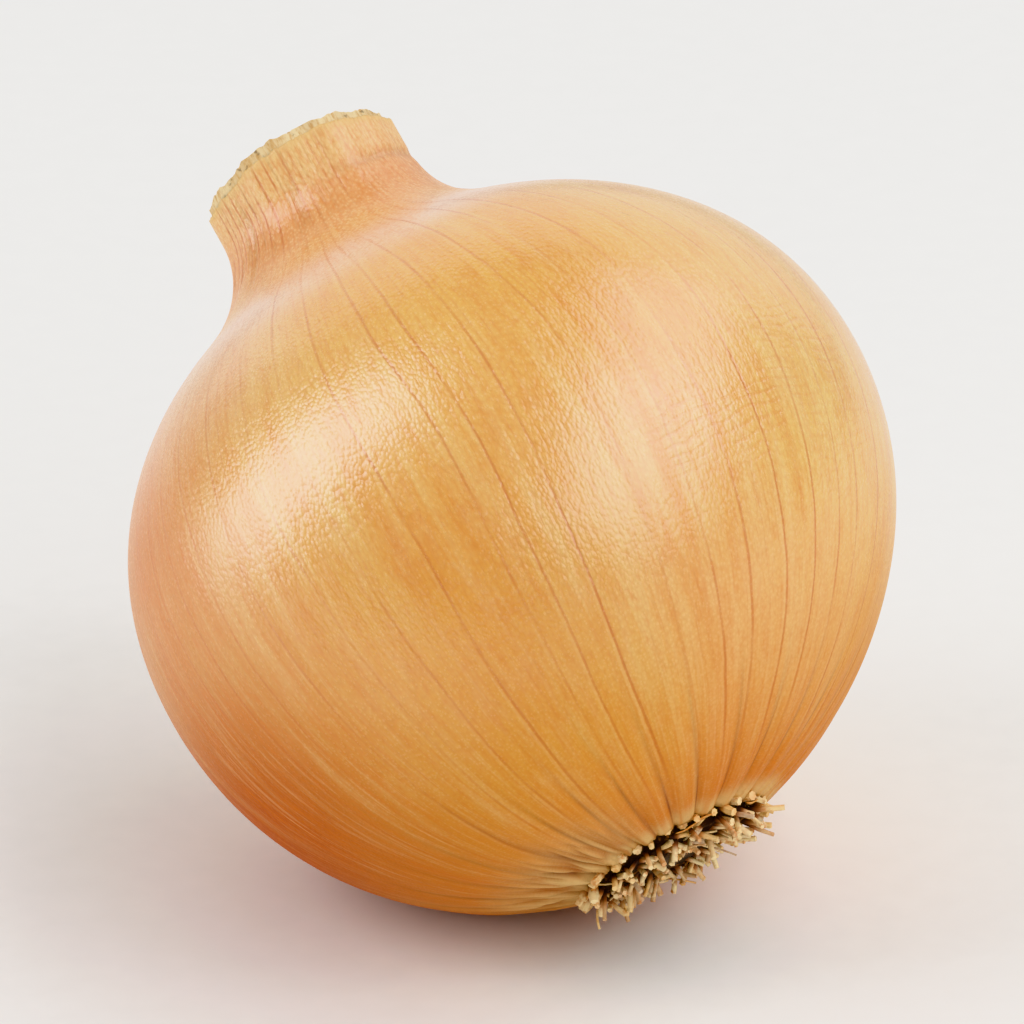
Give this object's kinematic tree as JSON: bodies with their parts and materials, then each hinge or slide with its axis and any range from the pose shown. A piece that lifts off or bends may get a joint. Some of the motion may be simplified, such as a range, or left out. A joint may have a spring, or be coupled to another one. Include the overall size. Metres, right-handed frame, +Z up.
{
  "type": "onion",
  "caption": "Round yellow bulb onion lying on its side, its papery skin drawn up into a short cut neck, with a corky root plate and clipped rootlets at the other end.",
  "frame": {"origin": "middle of the flat spot on the belly that the onion rests on", "axes": "+Z up from the surface it lies on; the neck leans 47 degrees from +Z towards 131 degrees from +X to +Y, and the root end points down the other way; -Y is the side that the picture shows"},
  "size_m": [0.0693, 0.068, 0.0675],
  "materials": {
    "skin": "dry papery skin, satin, golden with red-brown veins",
    "root": "dry straw-coloured rootlets, matt"
  },
  "bodies": {
    "root": {"bulb": "skin", "root_tuft": "root"}
  },
  "joints": []
}
